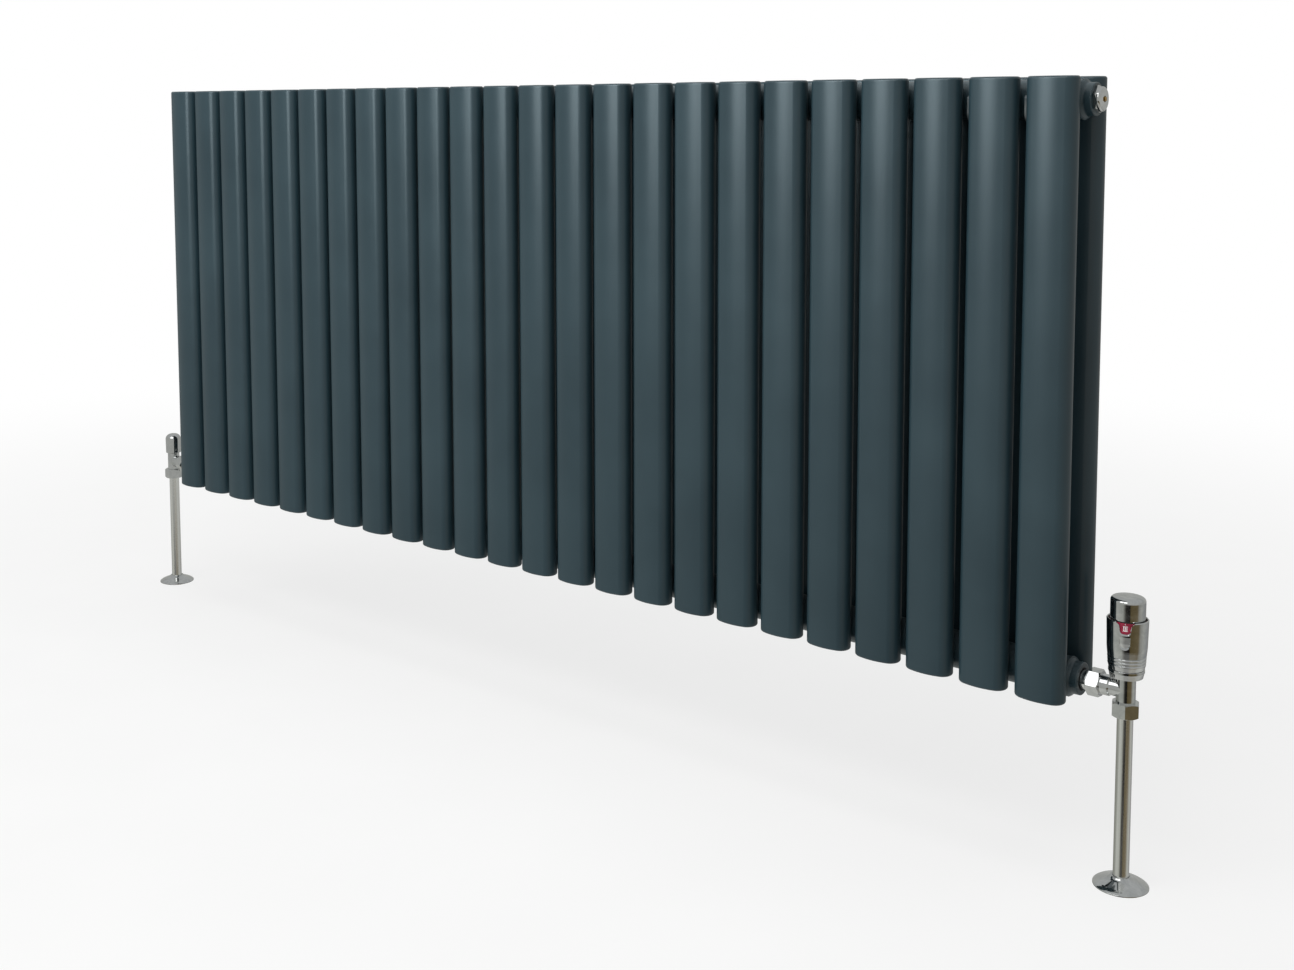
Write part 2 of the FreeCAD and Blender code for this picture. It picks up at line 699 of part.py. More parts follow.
def thumb_scoop():
    """Hollow below the window with a flared lip, deepest near its lower end and running out at its top."""
    flare = Part.makeLoft([scoop_wire(-16.5, 0.0), scoop_wire(-16.5 - SCOOP_LIP, SCOOP_LIP)], True)
    core = turned([
        (0, SCOOP_FLOOR - 5.0),
        (16.9, SCOOP_FLOOR - 5.0),
        (16.9, SCOOP_FLOOR - 1.0),
        (18.0, 49.4),
        (19.1, SCOOP_TOP),
        (0, SCOOP_TOP),
    ])
    return facing_window(flare.cut(core))


def trv_sleeve():
    """Fixed outer shell of the head, with grip grooves, the setting window and the thumb scoop."""
    outline = [(8.6, SLEEVE_BOTTOM), (16.2, SLEEVE_BOTTOM, 0.4), (17.3, 25.6, 1.0)]
    for groove in (27.4, 30.6, 33.8):
        radius = 17.3 + (groove - 25.6) * 0.06
        outline += [(radius, groove - 0.8), (radius - 0.7, groove), (radius, groove + 0.8)]
    outline += [
        (18.5, 42.0, 60.0),
        (19.2, SLEEVE_RIM - 0.8),
        (18.6, SLEEVE_RIM, 0.3),
        (18.0, SLEEVE_RIM, 0.3),
        (SLEEVE_BORE, SLEEVE_RIM - 1.0),
        (SLEEVE_BORE, 49.4),
        (15.4, 46.6),
        (14.6, SLEEVE_BOTTOM + 2.5),
        (8.6, SLEEVE_BOTTOM + 2.5),
    ]
    straight = Part.Face(window_wire(-10.0, 0.0)).extrude(FreeCAD.Vector(0, -15, 0))
    bevel = Part.makeLoft([window_wire(-17.4, 0.0), window_wire(-20.0, 2.2)], True)
    shell = turned(outline).cut([facing_window(straight), facing_window(bevel), thumb_scoop()])
    return at_valve(shell, RIGHT_VALVE_X)


def trv_scale_drum():
    """Coloured drum that carries the dial's numerals behind the window; turns with the cap."""
    return at_valve(turned([
        (13.0, DRUM_BOTTOM),
        (DRUM_RADIUS, DRUM_BOTTOM, 0.3),
        (DRUM_RADIUS, DRUM_TOP, 0.3),
        (13.0, DRUM_TOP),
    ]), RIGHT_VALVE_X)


def trv_cap():
    """Turning cap of the head, a thin shell that stands on the drum."""
    wall = 1.5
    inner = HEAD_CAP_RADIUS - wall
    return at_valve(turned([
        (inner, DRUM_TOP),
        (HEAD_CAP_RADIUS, DRUM_TOP, 0.2),
        (HEAD_CAP_RADIUS, HEAD_CAP_TOP - 1.6, 3.4),
        (9.0, HEAD_CAP_TOP - 0.35, 60.0),
        (0, HEAD_CAP_TOP),
        (0, HEAD_CAP_TOP - 2 * wall),
        (inner, HEAD_CAP_TOP - 2 * wall - 1.6, 2.2),
    ]), RIGHT_VALVE_X)


def trv_sensor():
    """Liquid-filled capsule that swells with the room's warmth."""
    return at_valve(turned([
        (0, 56.0),
        (6.0, 56.0),
        (6.0, 60.0),
        (11.6, 62.0, 1.5),
        (11.6, 84.0, 2.5),
        (0, 86.0),
    ]), RIGHT_VALVE_X)


def trv_pusher():
    """Plunger between the capsule and the valve's stem."""
    return at_valve(turned([
        (0, STEM_TOP),
        (4.0, STEM_TOP, 0.4),
        (4.0, 44.0),
        (7.0, 46.0, 0.5),
        (7.0, 49.0, 0.5),
        (5.0, 50.0),
        (5.0, 56.0),
        (0, 56.0),
    ]), RIGHT_VALVE_X)


# ---- lockshield valve ----

def lockshield_body():
    top = 14.0
    return at_valve(valve_body(-1, [(BARREL_RADIUS, top, 0.6), (0, top)]), LEFT_VALVE_X)


def lockshield_gland():
    """Brass headgear nut that holds the spindle down."""
    outside = cylinder(CHAMBER_RADIUS, 6.0, 14.0).fuse(hexagon(15.0, 14.0, GLAND_TOP, chamfer=0.8))
    flange_way = cylinder(4.55, 5.0, 9.05)
    spindle_way = cylinder(SPINDLE_RADIUS + STEM_FIT, 9.0, GLAND_TOP + 1)
    return at_valve(outside.cut([flange_way, spindle_way]), LEFT_VALVE_X)


def lockshield_spindle():
    """Spindle that turns without rising: its flange bears up against the gland, its tang drives the plug."""
    tang = cylinder(2.45, 0.4, 6.5)
    flange = cylinder(4.5, 6.5, 9.0)
    shank = cylinder(SPINDLE_RADIUS, 9.0, 22.0)
    square = Part.makeBox(4.2, 4.2, SPINDLE_TOP - 22.0, FreeCAD.Vector(-2.1, -2.1, 22.0))
    return at_valve(tang.fuse([flange, shank, square]).removeSplitter(), LEFT_VALVE_X)


def lockshield_plug():
    """Piston that the spindle screws down onto the seat."""
    bottom = SEAT_Z + PLUG_LIFT
    piston = turned([(0, bottom), (6.6, bottom, 0.5), (6.6, bottom + 9.0, 0.3), (0, bottom + 9.0)])
    return at_valve(piston.cut(cylinder(2.5, -2.0, bottom + 10.0)), LEFT_VALVE_X)


def lockshield_cap():
    """Push-on cover that hides the spindle's square, so that the setting isn't touched by accident."""
    wall = 1.4
    inner = SHIELD_CAP_RADIUS - wall
    return at_valve(turned([
        (inner, SHIELD_CAP_BOTTOM),
        (SHIELD_CAP_RADIUS - 0.3, SHIELD_CAP_BOTTOM, 0.4),
        (SHIELD_CAP_RADIUS, SHIELD_CAP_TOP - 9.5),
        (SHIELD_CAP_RADIUS, SHIELD_CAP_TOP - 0.6, 8.4),
        (0, SHIELD_CAP_TOP),
        (0, SHIELD_CAP_TOP - wall),
        (inner, SHIELD_CAP_TOP - wall - 0.6, 7.0),
    ]), LEFT_VALVE_X)


# ---- the assembly ----

def make_radiator():
    front = column(FRONT_Y)
    rear = column(REAR_Y)
    for index in range(COLUMN_COUNT):
        save("front_column_%02d" % (index + 1), upright(front, column_x(index), 0, 0))
    save("rear_columns", *[upright(rear, column_x(index), 0, 0) for index in range(COLUMN_COUNT)])
    save("top_header", header(TOP_HEADER_Z))
    save("bottom_header", header(BOTTOM_HEADER_Z))
    ends = [(side, z) for side in (1, -1) for z in (TOP_HEADER_Z, BOTTOM_HEADER_Z)]
    boss = end_boss()
    seal = thread_seal()
    save("header_bosses", *[facing(boss, side, side * HEADER_END_X, HEADER_Y, z) for side, z in ends])
    save("thread_seals", *[facing(seal, side, side * HEADER_END_X, HEADER_Y, z) for side, z in ends])
    save("vent_plug", facing(vent_plug(), 1, HEADER_END_X, HEADER_Y, TOP_HEADER_Z))
    save("vent_screw", facing(vent_screw(), 1, HEADER_END_X, HEADER_Y, TOP_HEADER_Z))
    save("blanking_plug", facing(plug_outside(), -1, -HEADER_END_X, HEADER_Y, TOP_HEADER_Z))


def make_brackets():
    places = bracket_places()
    save("upper_brackets", *[upper_bracket(x) for x in places])
    save("lower_brackets", *[lower_bracket(x) for x in places])
    save("bracket_liners", *bracket_liners())


def make_plumbing():
    right_reach = tail_reach(RIGHT_VALVE_X)
    left_reach = tail_reach(LEFT_VALVE_X)
    save("trv_tailpiece", facing(tailpiece(right_reach), 1, HEADER_END_X, HEADER_Y, BOTTOM_HEADER_Z))
    save("lockshield_tailpiece", facing(tailpiece(left_reach), -1, -HEADER_END_X, HEADER_Y, BOTTOM_HEADER_Z))
    save("union_nuts",
         facing(union_nut(right_reach), 1, HEADER_END_X, HEADER_Y, BOTTOM_HEADER_Z),
         facing(union_nut(left_reach), -1, -HEADER_END_X, HEADER_Y, BOTTOM_HEADER_Z))
    valves = (RIGHT_VALVE_X, LEFT_VALVE_X)
    save("compression_nuts", *[at_valve(compression_nut(), x) for x in valves])
    save("olives", *[at_valve(olive(), x) for x in valves])
    save("pipe_right", pipe(RIGHT_VALVE_X))
    save("pipe_left", pipe(LEFT_VALVE_X))
    save("rose_right", floor_rose(RIGHT_VALVE_X))
    save("rose_left", floor_rose(LEFT_VALVE_X))


def make_valves():
    save("trv_body", trv_body())
    save("trv_insert", trv_insert())
    save("trv_stem", trv_stem())
    save("trv_disc", trv_disc())
    save("trv_stem_spring", trv_stem_spring())
    save("trv_fixing_collar", trv_fixing_collar())
    save("trv_sleeve", trv_sleeve())
    save("trv_scale_drum", trv_scale_drum())
    save("trv_cap", trv_cap())
    save("trv_sensor", trv_sensor())
    save("trv_pusher", trv_pusher())
    save("lockshield_body", lockshield_body())
    save("lockshield_gland", lockshield_gland())
    save("lockshield_spindle", lockshield_spindle())
    save("lockshield_plug", lockshield_plug())
    save("lockshield_cap", lockshield_cap())


os.makedirs("parts", exist_ok=True)
make_radiator()
make_brackets()
make_plumbing()
make_valves()
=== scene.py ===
import json
import math

import bmesh
import bpy
from mathutils import Matrix, Vector


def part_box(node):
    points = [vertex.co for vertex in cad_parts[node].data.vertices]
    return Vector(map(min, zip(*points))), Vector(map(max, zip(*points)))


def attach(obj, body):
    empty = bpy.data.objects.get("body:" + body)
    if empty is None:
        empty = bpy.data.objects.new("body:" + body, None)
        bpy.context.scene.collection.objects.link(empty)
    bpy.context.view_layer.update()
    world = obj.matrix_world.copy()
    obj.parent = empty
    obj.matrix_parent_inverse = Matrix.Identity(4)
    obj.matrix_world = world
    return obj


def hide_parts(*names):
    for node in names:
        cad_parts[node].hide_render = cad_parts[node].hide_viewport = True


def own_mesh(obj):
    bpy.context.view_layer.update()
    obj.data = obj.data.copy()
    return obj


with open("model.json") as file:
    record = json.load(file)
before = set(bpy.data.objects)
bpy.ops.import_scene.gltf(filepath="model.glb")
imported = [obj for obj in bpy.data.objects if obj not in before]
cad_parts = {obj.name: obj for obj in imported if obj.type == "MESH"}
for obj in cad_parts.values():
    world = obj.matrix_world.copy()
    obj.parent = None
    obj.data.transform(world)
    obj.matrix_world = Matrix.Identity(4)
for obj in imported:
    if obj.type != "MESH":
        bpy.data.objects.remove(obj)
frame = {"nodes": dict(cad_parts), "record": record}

# A double-row oval-column radiator with a thermostatic valve on its right and a lockshield valve
# on its left. Metres. +X runs to the right along the radiator, -Y is its front, +Z is up, and the
# origin is on the wall at the centre of the wall fixings.

MM = 0.001
FULL_TURN = 2 * math.pi
UP = Vector((0, 0, 1))

HOOP_SECTION = 0.1              # section radius of the hoop of radius 1 that every bead is bent from
COLUMN_WELD = 1.5 * MM          # radius of the weld beads
BOSS_WELD = 1.2 * MM
INK = 0.10 * MM                 # how thick the printed strokes are
DIAL_MARKS = ("0", "*", "I", "II", "III", "IV", "V")
MARK_AT_REST = "III"            # the mark that stands in the window
WAVE_BANDS = 20                 # bands that the wave texture draws per unit of its scale

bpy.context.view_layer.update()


def middle(node):
    low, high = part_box(node)
    return (low + high) / 2


# ---- places that the frame gives ----
TOP_HEADER = middle("top_header")
BOTTOM_HEADER = middle("bottom_header")
HEADER_RADIUS = (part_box("top_header")[1].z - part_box("top_header")[0].z) / 2
TUBE_END_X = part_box("top_header")[1].x
RIGHT_PIPE = middle("pipe_right")
KNOB_AXIS = Vector((RIGHT_PIPE.x, RIGHT_PIPE.y, 0))
FLOOR_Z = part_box("rose_right")[0].z
COLUMNS = sorted(name for name in frame["nodes"] if name.startswith("front_column_"))
COLUMN_MIDDLES = [middle(name) for name in COLUMNS]
COLUMN_LOW, COLUMN_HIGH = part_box(COLUMNS[0])
COLUMN_HALF_WIDTH = (COLUMN_HIGH.x - COLUMN_LOW.x) / 2
COLUMN_HALF_DEPTH = (COLUMN_HIGH.y - COLUMN_LOW.y) / 2
FRONT_ROW_Y = (COLUMN_HIGH.y + COLUMN_LOW.y) / 2
REAR_ROW_Y = middle("rear_columns").y


# ---- camera, light and floor ----

def aim(thing, place, direction, roll=0.0):
    """Puts a camera or lamp at a place, looking along a direction, with its top upwards."""
    turn = direction.to_track_quat("-Z", "Y").to_matrix().to_4x4()
    thing.matrix_world = Matrix.Translation(place) @ turn @ Matrix.Rotation(roll, 4, "Z")


def make_camera():
    """Camera just below the height of the radiator's top and to its right, looking back along it."""
    eye = Vector((1.3067, -1.5335, 0.2735))
    heading = 0.722
    dip = 0.09
    lens = bpy.data.cameras.new("camera")
    lens.sensor_width = 36.0
    lens.lens = 44.0
    lens.shift_x = 0.075
    lens.shift_y = -0.1817
    camera = bpy.data.objects.new("camera", lens)
    bpy.context.scene.collection.objects.link(camera)
    level = math.cos(dip)
    forward = Vector((-math.sin(heading) * level, math.cos(heading) * level, -math.sin(dip)))
    aim(camera, eye, forward, roll=-0.006)
    bpy.context.scene.camera = camera


def lamp(name, place, target, width, height, power, colour="#FFFFFF", glossy=True):
    """Rectangular soft box that the camera doesn't see."""
    light = bpy.data.lights.new(name, "AREA")
    light.shape = "RECTANGLE"
    light.size = width
    light.size_y = height
    light.energy = power
    light.color = linear(colour)[:3]
    box = bpy.data.objects.new(name, light)
    bpy.context.scene.collection.objects.link(box)
    aim(box, Vector(place), Vector(target) - Vector(place))
    box.visible_glossy = glossy
    box.visible_camera = False
    return box


def make_lights():
    """Two bright panes in front, even fill from above, and a cool soft pane that lights the paint only."""
    for name, x in (("key_left", -0.30), ("key_right", 0.72)):
        lamp(name, (x, -1.85, 1.55), (x * 0.6, 0.0, -0.05), width=0.88, height=1.5, power=7.0)
    lamp("overhead", (0.0, -0.9, 2.8), (0.0, -0.5, -0.4), width=3.6, height=3.6, power=80.0, glossy=False)
    stripe = lamp("stripe", (-0.32, -1.80, 0.80), (-0.20, -0.1, 0.05), width=1.0, height=1.2, power=30.0,
                  colour="#DCEFF6")
    painted = bpy.data.collections.new("painted")
    for part in frame["record"]["subparts"]:
        if part["material_slot"] == "radiator_paint":
            painted.objects.link(frame["nodes"][part["node"]])
    stripe.light_linking.receiver_collection = painted


def make_world():
    """Studio walls that the chrome mirrors: a dark stretch and a timber one, low on the camera's side."""
    world = bpy.data.worlds.new("studio")
    bpy.context.scene.world = world
    world.use_nodes = True
    tree = world.node_tree
    tree.nodes.clear()
    direction = node(tree, "ShaderNodeTexCoord").outputs["Generated"]
    axes = node(tree, "ShaderNodeSeparateXYZ", {"Vector": direction}).outputs
    towards_front = node(tree, "ShaderNodeMath", {0: axes["Y"], 1: -1.0}, operation="MULTIPLY").outputs[0]
    heading = node(tree, "ShaderNodeMath", {0: axes["X"], 1: towards_front}, operation="ARCTAN2").outputs[0]
    share = node(tree, "ShaderNodeMapRange", {"Value": heading, "From Min": -math.pi, "From Max": math.pi})
    walls = node(tree, "ShaderNodeValToRGB", {"Fac": share.outputs[0]}, stops=[
        (0.00, "#8A8A87"), (0.25, "#84867F"), (0.31, "#9A9C97"), (0.36, "#B4B6B1"), (0.47, "#A2A49E"),
        (0.500, "#6E6E69"), (0.525, "#2E2D2A"), (0.590, "#171614"), (0.612, "#5C5137"), (0.735, "#6A5F48"),
        (0.770, "#96958F"), (0.83, "#ABACA7"), (0.92, "#98999A"), (1.00, "#8A8A87")]).outputs["Color"]
    levels = (
        (-0.285, -0.235, "#B0B1AE"),    # the walls above the timber are plain
        (0.30, 0.62, "#B4B6B6"),        # the ceiling
    )
    room = walls
    for low, high, tone in levels:
        height = node(tree, "ShaderNodeMapRange", {"Value": axes["Z"], "From Min": low, "From Max": high})
        room = node(tree, "ShaderNodeMix", {"Factor": height.outputs[0], "A": room, "B": linear(tone)},
                    data_type="RGBA").outputs["Result"]
    # the studio's floor brightens what is mirrored from close above it
    floor_share = node(tree, "ShaderNodeMapRange", {"Value": axes["Z"], "From Min": -0.43, "From Max": -0.60,
                                                    "To Max": 0.5})
    room = node(tree, "ShaderNodeMix", {"Factor": floor_share.outputs[0], "A": room, "B": linear("#DEDEDA")},
                data_type="RGBA").outputs["Result"]
    path = node(tree, "ShaderNodeLightPath").outputs
    colour = node(tree, "ShaderNodeMix", {"Factor": path["Is Camera Ray"], "A": room, "B": linear("#FFFFFF")},
                  data_type="RGBA").outputs["Result"]
    strength = node(tree, "ShaderNodeMapRange", {"Value": path["Is Diffuse Ray"], "To Min": 1.0,
                                                 "To Max": 0.4})
    back = node(tree, "ShaderNodeBackground", {"Color": colour, "Strength": strength.outputs[0]})
    node(tree, "ShaderNodeOutputWorld", {"Surface": back.outputs[0]})


def make_floor():
    """Pale disc that fades to white far from the radiator, and that the chrome sees the walls through."""
    disc = bmesh.new()
    bmesh.ops.create_circle(disc, cap_ends=True, segments=96, radius=14.0)
    bmesh.ops.translate(disc, vec=(0, 0, FLOOR_Z), verts=disc.verts)
    mesh = bpy.data.meshes.new("floor")
    disc.to_mesh(mesh)
    disc.free()
    floor = bpy.data.objects.new("floor", mesh)
    bpy.context.scene.collection.objects.link(floor)
    material = bpy.data.materials.new("pale_floor")
    material.use_nodes = True
    tree = material.node_tree
    tree.nodes.clear()
    place = node(tree, "ShaderNodeTexCoord").outputs["Object"]
    distance = node(tree, "ShaderNodeVectorMath", {0: place}, operation="LENGTH").outputs["Value"]
    far = node(tree, "ShaderNodeMapRange", {"Value": distance, "From Min": 0.7, "From Max": 2.6,
                                            "To Min": 0.72},
               interpolation_type="SMOOTHSTEP").outputs[0]
    grain = node(tree, "ShaderNodeTexNoise", {"Vector": place, "Scale": 6.0, "Detail": 3.0})
    tone = node(tree, "ShaderNodeValToRGB", {"Fac": grain.outputs["Fac"]},
                stops=[(0.3, "#F4F4F3"), (0.7, "#F9F9F8")])
    pale = node(tree, "ShaderNodeBsdfDiffuse", {"Color": tone.outputs["Color"]})
    white = node(tree, "ShaderNodeEmission", {"Color": linear("#FFFFFF"), "Strength": 1.0})
    near = node(tree, "ShaderNodeMixShader", {"Fac": far, 1: pale.outputs[0], 2: white.outputs[0]})
    glossy = node(tree, "ShaderNodeLightPath").outputs["Is Glossy Ray"]
    clear = node(tree, "ShaderNodeBsdfTransparent")
    shown = node(tree, "ShaderNodeMixShader", {"Fac": glossy, 1: near.outputs[0], 2: clear.outputs[0]})
    node(tree, "ShaderNodeOutputMaterial", {"Surface": shown.outputs[0]})
    mesh.materials.append(material)


# ---- materials ----

def linear(code):
    """Linear RGBA of an sRGB hex colour."""
    values = []
    for start in (1, 3, 5):
        value = int(code[start:start + 2], 16) / 255
        values.append(value / 12.92 if value <= 0.04045 else ((value + 0.055) / 1.055) ** 2.4)
    return (*values, 1.0)


def node(tree, kind, inputs=None, stops=None, **settings):
    """Adds a shader node. inputs holds values or other nodes' outputs by socket, stops a ramp's colours."""
    made = tree.nodes.new(kind)
    for name, value in settings.items():
        setattr(made, name, value)
    for socket, value in (inputs or {}).items():
        target = made.inputs[socket]
        if isinstance(value, bpy.types.NodeSocket):
            tree.links.new(value, target)
        else:
            target.default_value = value
    if stops:
        elements = made.color_ramp.elements
        while len(elements) < len(stops):
            elements.new(0.5)
        for element, (position, code) in zip(elements, stops):
            element.position = position
            element.color = linear(code)
    return made


def finish(name, **constants):
    """New material with one Principled shader; constants are the shader's own socket values."""
    material = bpy.data.materials.new(name)
    material.use_nodes = True
    tree = material.node_tree
    tree.nodes.clear()
    sockets = {key.replace("_", " "): value for key, value in constants.items()}
    shader = node(tree, "ShaderNodeBsdfPrincipled", sockets)
    node(tree, "ShaderNodeOutputMaterial", {"Surface": shader.outputs[0]})
    place = node(tree, "ShaderNodeTexCoord").outputs["Object"]
    return material, tree, shader, place


def satin_powder_coat():
    """Anthracite powder coat baked on steel: even blue-grey and satin, with orange peel and a little dust."""
    most_dust = 0.22
    material, tree, shader, place = finish("satin_powder_coated_steel", IOR=1.5)
    tone = node(tree, "ShaderNodeTexNoise", {"Vector": place, "Scale": 7.0, "Detail": 4.0, "Roughness": 0.6})
    coat = node(tree, "ShaderNodeValToRGB", {"Fac": tone.outputs["Fac"]},
                stops=[(0.30, "#1F2F35"), (0.70, "#25363C")])
    normal = node(tree, "ShaderNodeNewGeometry").outputs["Normal"]
    upward = node(tree, "ShaderNodeSeparateXYZ", {"Vector": normal}).outputs["Z"]
    specks = node(tree, "ShaderNodeTexNoise", {"Vector": place, "Scale": 260.0, "Detail": 3.0})
    settled = node(tree, "ShaderNodeMath", {0: upward, 1: specks.outputs["Fac"]}, operation="MULTIPLY",
                   use_clamp=True)
    dust_share = node(tree, "ShaderNodeMath", {0: settled.outputs[0], 1: most_dust}, operation="MULTIPLY")
    dusty = node(tree, "ShaderNodeMix", {"Factor": dust_share.outputs[0], "A": coat.outputs["Color"],
                                         "B": linear("#8C9193")}, data_type="RGBA")
    tree.links.new(dusty.outputs["Result"], shader.inputs["Base Color"])
    # real orange peel is about 1.5 mm across; 3 mm is the finest that still shows
    peel = node(tree, "ShaderNodeTexNoise", {"Vector": place, "Scale": 1 / (3.0 * MM), "Detail": 2.0})
    shine = node(tree, "ShaderNodeMapRange", {"Value": tone.outputs["Fac"], "From Min": 0.3, "From Max": 0.7,
                                              "To Min": 0.29, "To Max": 0.35})
    tree.links.new(shine.outputs[0], shader.inputs["Roughness"])
    relief = node(tree, "ShaderNodeBump", {"Height": peel.outputs["Fac"], "Strength": 0.10,
                                           "Distance": 0.25 * MM})
    tree.links.new(relief.outputs[0], shader.inputs["Normal"])
    return material


def bright_chrome():
    """Chrome plate over polished brass: a cool mirror with faint polishing waves and wiped smears."""
    material, tree, shader, place = finish("bright_chrome_plated_brass", Metallic=1.0)
    smears = node(tree, "ShaderNodeTexNoise", {"Vector": place, "Scale": 90.0, "Detail": 5.0,
                                               "Roughness": 0.65, "Distortion": 0.8})
    tint = node(tree, "ShaderNodeValToRGB", {"Fac": smears.outputs["Fac"]},
                stops=[(0.35, "#C8CACA"), (0.65, "#DCDDDC")])
    tree.links.new(tint.outputs["Color"], shader.inputs["Base Color"])
    shine = node(tree, "ShaderNodeMapRange", {"Value": smears.outputs["Fac"], "From Min": 0.35,
                                              "From Max": 0.68, "To Min": 0.03, "To Max": 0.09})
    tree.links.new(shine.outputs[0], shader.inputs["Roughness"])
    # a polishing wheel leaves waves about 8 mm long
    waves = node(tree, "ShaderNodeTexNoise", {"Vector": place, "Scale": 1 / (8.0 * MM), "Detail": 1.0})
    relief = node(tree, "ShaderNodeBump", {"Height": waves.outputs["Fac"], "Strength": 0.25,
                                           "Distance": 0.12 * MM})
    tree.links.new(relief.outputs[0], shader.inputs["Normal"])
    return material


def drawn_chrome_tube():
    """Chrome-plated copper tube: a softer mirror with draw lines that run along the tube."""
    material, tree, shader, place = finish("drawn_chrome_plated_copper", Metallic=1.0)
    # draw lines are a tenth of a millimetre apart; 0.8 mm is the finest that still shows
    stretched = node(tree, "ShaderNodeMapping", {"Vector": place, "Scale": (1.0, 1.0, 0.02)})
    lines = node(tree, "ShaderNodeTexNoise", {"Vector": stretched.outputs[0], "Scale": 1 / (0.8 * MM),
                                              "Detail": 2.0})
    tint = node(tree, "ShaderNodeValToRGB", {"Fac": lines.outputs["Fac"]},
                stops=[(0.35, "#EEEEEB"), (0.65, "#FAFAF7")])
    tree.links.new(tint.outputs["Color"], shader.inputs["Base Color"])
    shine = node(tree, "ShaderNodeMapRange", {"Value": lines.outputs["Fac"], "From Min": 0.3, "From Max": 0.7,
                                              "To Min": 0.13, "To Max": 0.20})
    tree.links.new(shine.outputs[0], shader.inputs["Roughness"])
    relief = node(tree, "ShaderNodeBump", {"Height": lines.outputs["Fac"], "Strength": 0.08,
                                           "Distance": 0.05 * MM})
    tree.links.new(relief.outputs[0], shader.inputs["Normal"])
    return material


def turned_brass():
    """Machined brass: yellow metal with fine tool rings and a little brown tarnish."""
    material, tree, shader, place = finish("turned_brass", Metallic=1.0)
    tarnish = node(tree, "ShaderNodeTexNoise", {"Vector": place, "Scale": 180.0, "Detail": 4.0})
    tint = node(tree, "ShaderNodeValToRGB", {"Fac": tarnish.outputs["Fac"]},
                stops=[(0.35, "#8C6B33"), (0.65, "#C9A35A")])
    tree.links.new(tint.outputs["Color"], shader.inputs["Base Color"])
    shine = node(tree, "ShaderNodeMapRange", {"Value": tarnish.outputs["Fac"], "To Min": 0.40,
                                              "To Max": 0.22})
    tree.links.new(shine.outputs[0], shader.inputs["Roughness"])
    tool_rings(tree, shader, place, 0.5)
    return material


def tool_rings(tree, shader, place, spacing_mm):
    """Relief of the fine rings that a lathe leaves across an upright axis."""
    wave = node(tree, "ShaderNodeTexWave", {"Vector": place, "Scale": 1 / (spacing_mm * MM) / WAVE_BANDS,
                                            "Distortion": 0.4, "Detail": 1.0}, bands_direction="Z")
    relief = node(tree, "ShaderNodeBump", {"Height": wave.outputs["Fac"], "Strength": 0.15,
                                           "Distance": 0.05 * MM})
    tree.links.new(relief.outputs[0], shader.inputs["Normal"])


def black_rubber():
    """Moulded nitrile rubber: near black, matt, with a fine moulded grain."""
    return moulded("moulded_nitrile_rubber", "#141414", "#1E1E1D", 0.72, 0.85, 0.4, IOR=1.52)


def black_nylon():
    """Moulded nylon: dark grey with a soft sheen and a spark-eroded grain."""
    return moulded("moulded_nylon", "#1B1C1D", "#26282A", 0.45, 0.6, 0.5, IOR=1.53)


def white_acetal():
    """Moulded acetal: milky white, slightly waxy."""
    return moulded("moulded_acetal", "#DEDDD6", "#ECEBE5", 0.35, 0.48, 0.6, IOR=1.48)


def crimson_abs():
    """Moulded crimson ABS for the setting drum: saturated, with a low gloss and a little mottling."""
    return moulded("moulded_crimson_abs", "#8E0F33", "#A5173F", 0.34, 0.46, 0.6, IOR=1.54)


def moulded(name, dark, light, smooth, rough, grain_mm, IOR):
    """A moulded plastic or rubber with two close tones and a fine grain."""
    material, tree, shader, place = finish(name, IOR=IOR)
    mottle = node(tree, "ShaderNodeTexNoise", {"Vector": place, "Scale": 120.0, "Detail": 4.0})
    tone = node(tree, "ShaderNodeValToRGB", {"Fac": mottle.outputs["Fac"]},
                stops=[(0.35, dark), (0.65, light)])
    tree.links.new(tone.outputs["Color"], shader.inputs["Base Color"])
    shine = node(tree, "ShaderNodeMapRange", {"Value": mottle.outputs["Fac"], "From Min": 0.3,
                                              "From Max": 0.7, "To Min": smooth, "To Max": rough})
    tree.links.new(shine.outputs[0], shader.inputs["Roughness"])
    grain = node(tree, "ShaderNodeTexNoise", {"Vector": place, "Scale": 1 / (grain_mm * MM), "Detail": 2.0})
    relief = node(tree, "ShaderNodeBump", {"Height": grain.outputs["Fac"], "Strength": 0.2,
                                           "Distance": 0.04 * MM})
    tree.links.new(relief.outputs[0], shader.inputs["Normal"])
    return material


def zinc_plate():
    """Zinc-plated pressed steel: pale bluish grey with soft crystalline patches."""
    material, tree, shader, place = finish("zinc_plated_steel", Metallic=1.0)
    crystals = node(tree, "ShaderNodeTexVoronoi", {"Vector": place, "Scale": 1 / (6.0 * MM)})
    clouds = node(tree, "ShaderNodeTexNoise", {"Vector": place, "Scale": 45.0, "Detail": 5.0})
    patches = node(tree, "ShaderNodeMath", {0: crystals.outputs["Distance"], 1: clouds.outputs["Fac"]},
                   operation="MULTIPLY")
    tint = node(tree, "ShaderNodeValToRGB", {"Fac": patches.outputs[0]},
                stops=[(0.05, "#6E757A"), (0.45, "#8F9598")])
    tree.links.new(tint.outputs["Color"], shader.inputs["Base Color"])
    shine = node(tree, "ShaderNodeMapRange", {"Value": clouds.outputs["Fac"], "To Min": 0.28, "To Max": 0.48})
    tree.links.new(shine.outputs[0], shader.inputs["Roughness"])
    relief = node(tree, "ShaderNodeBump", {"Height": clouds.outputs["Fac"], "Strength": 0.15,
                                           "Distance": 0.1 * MM})
    tree.links.new(relief.outputs[0], shader.inputs["Normal"])
    return material


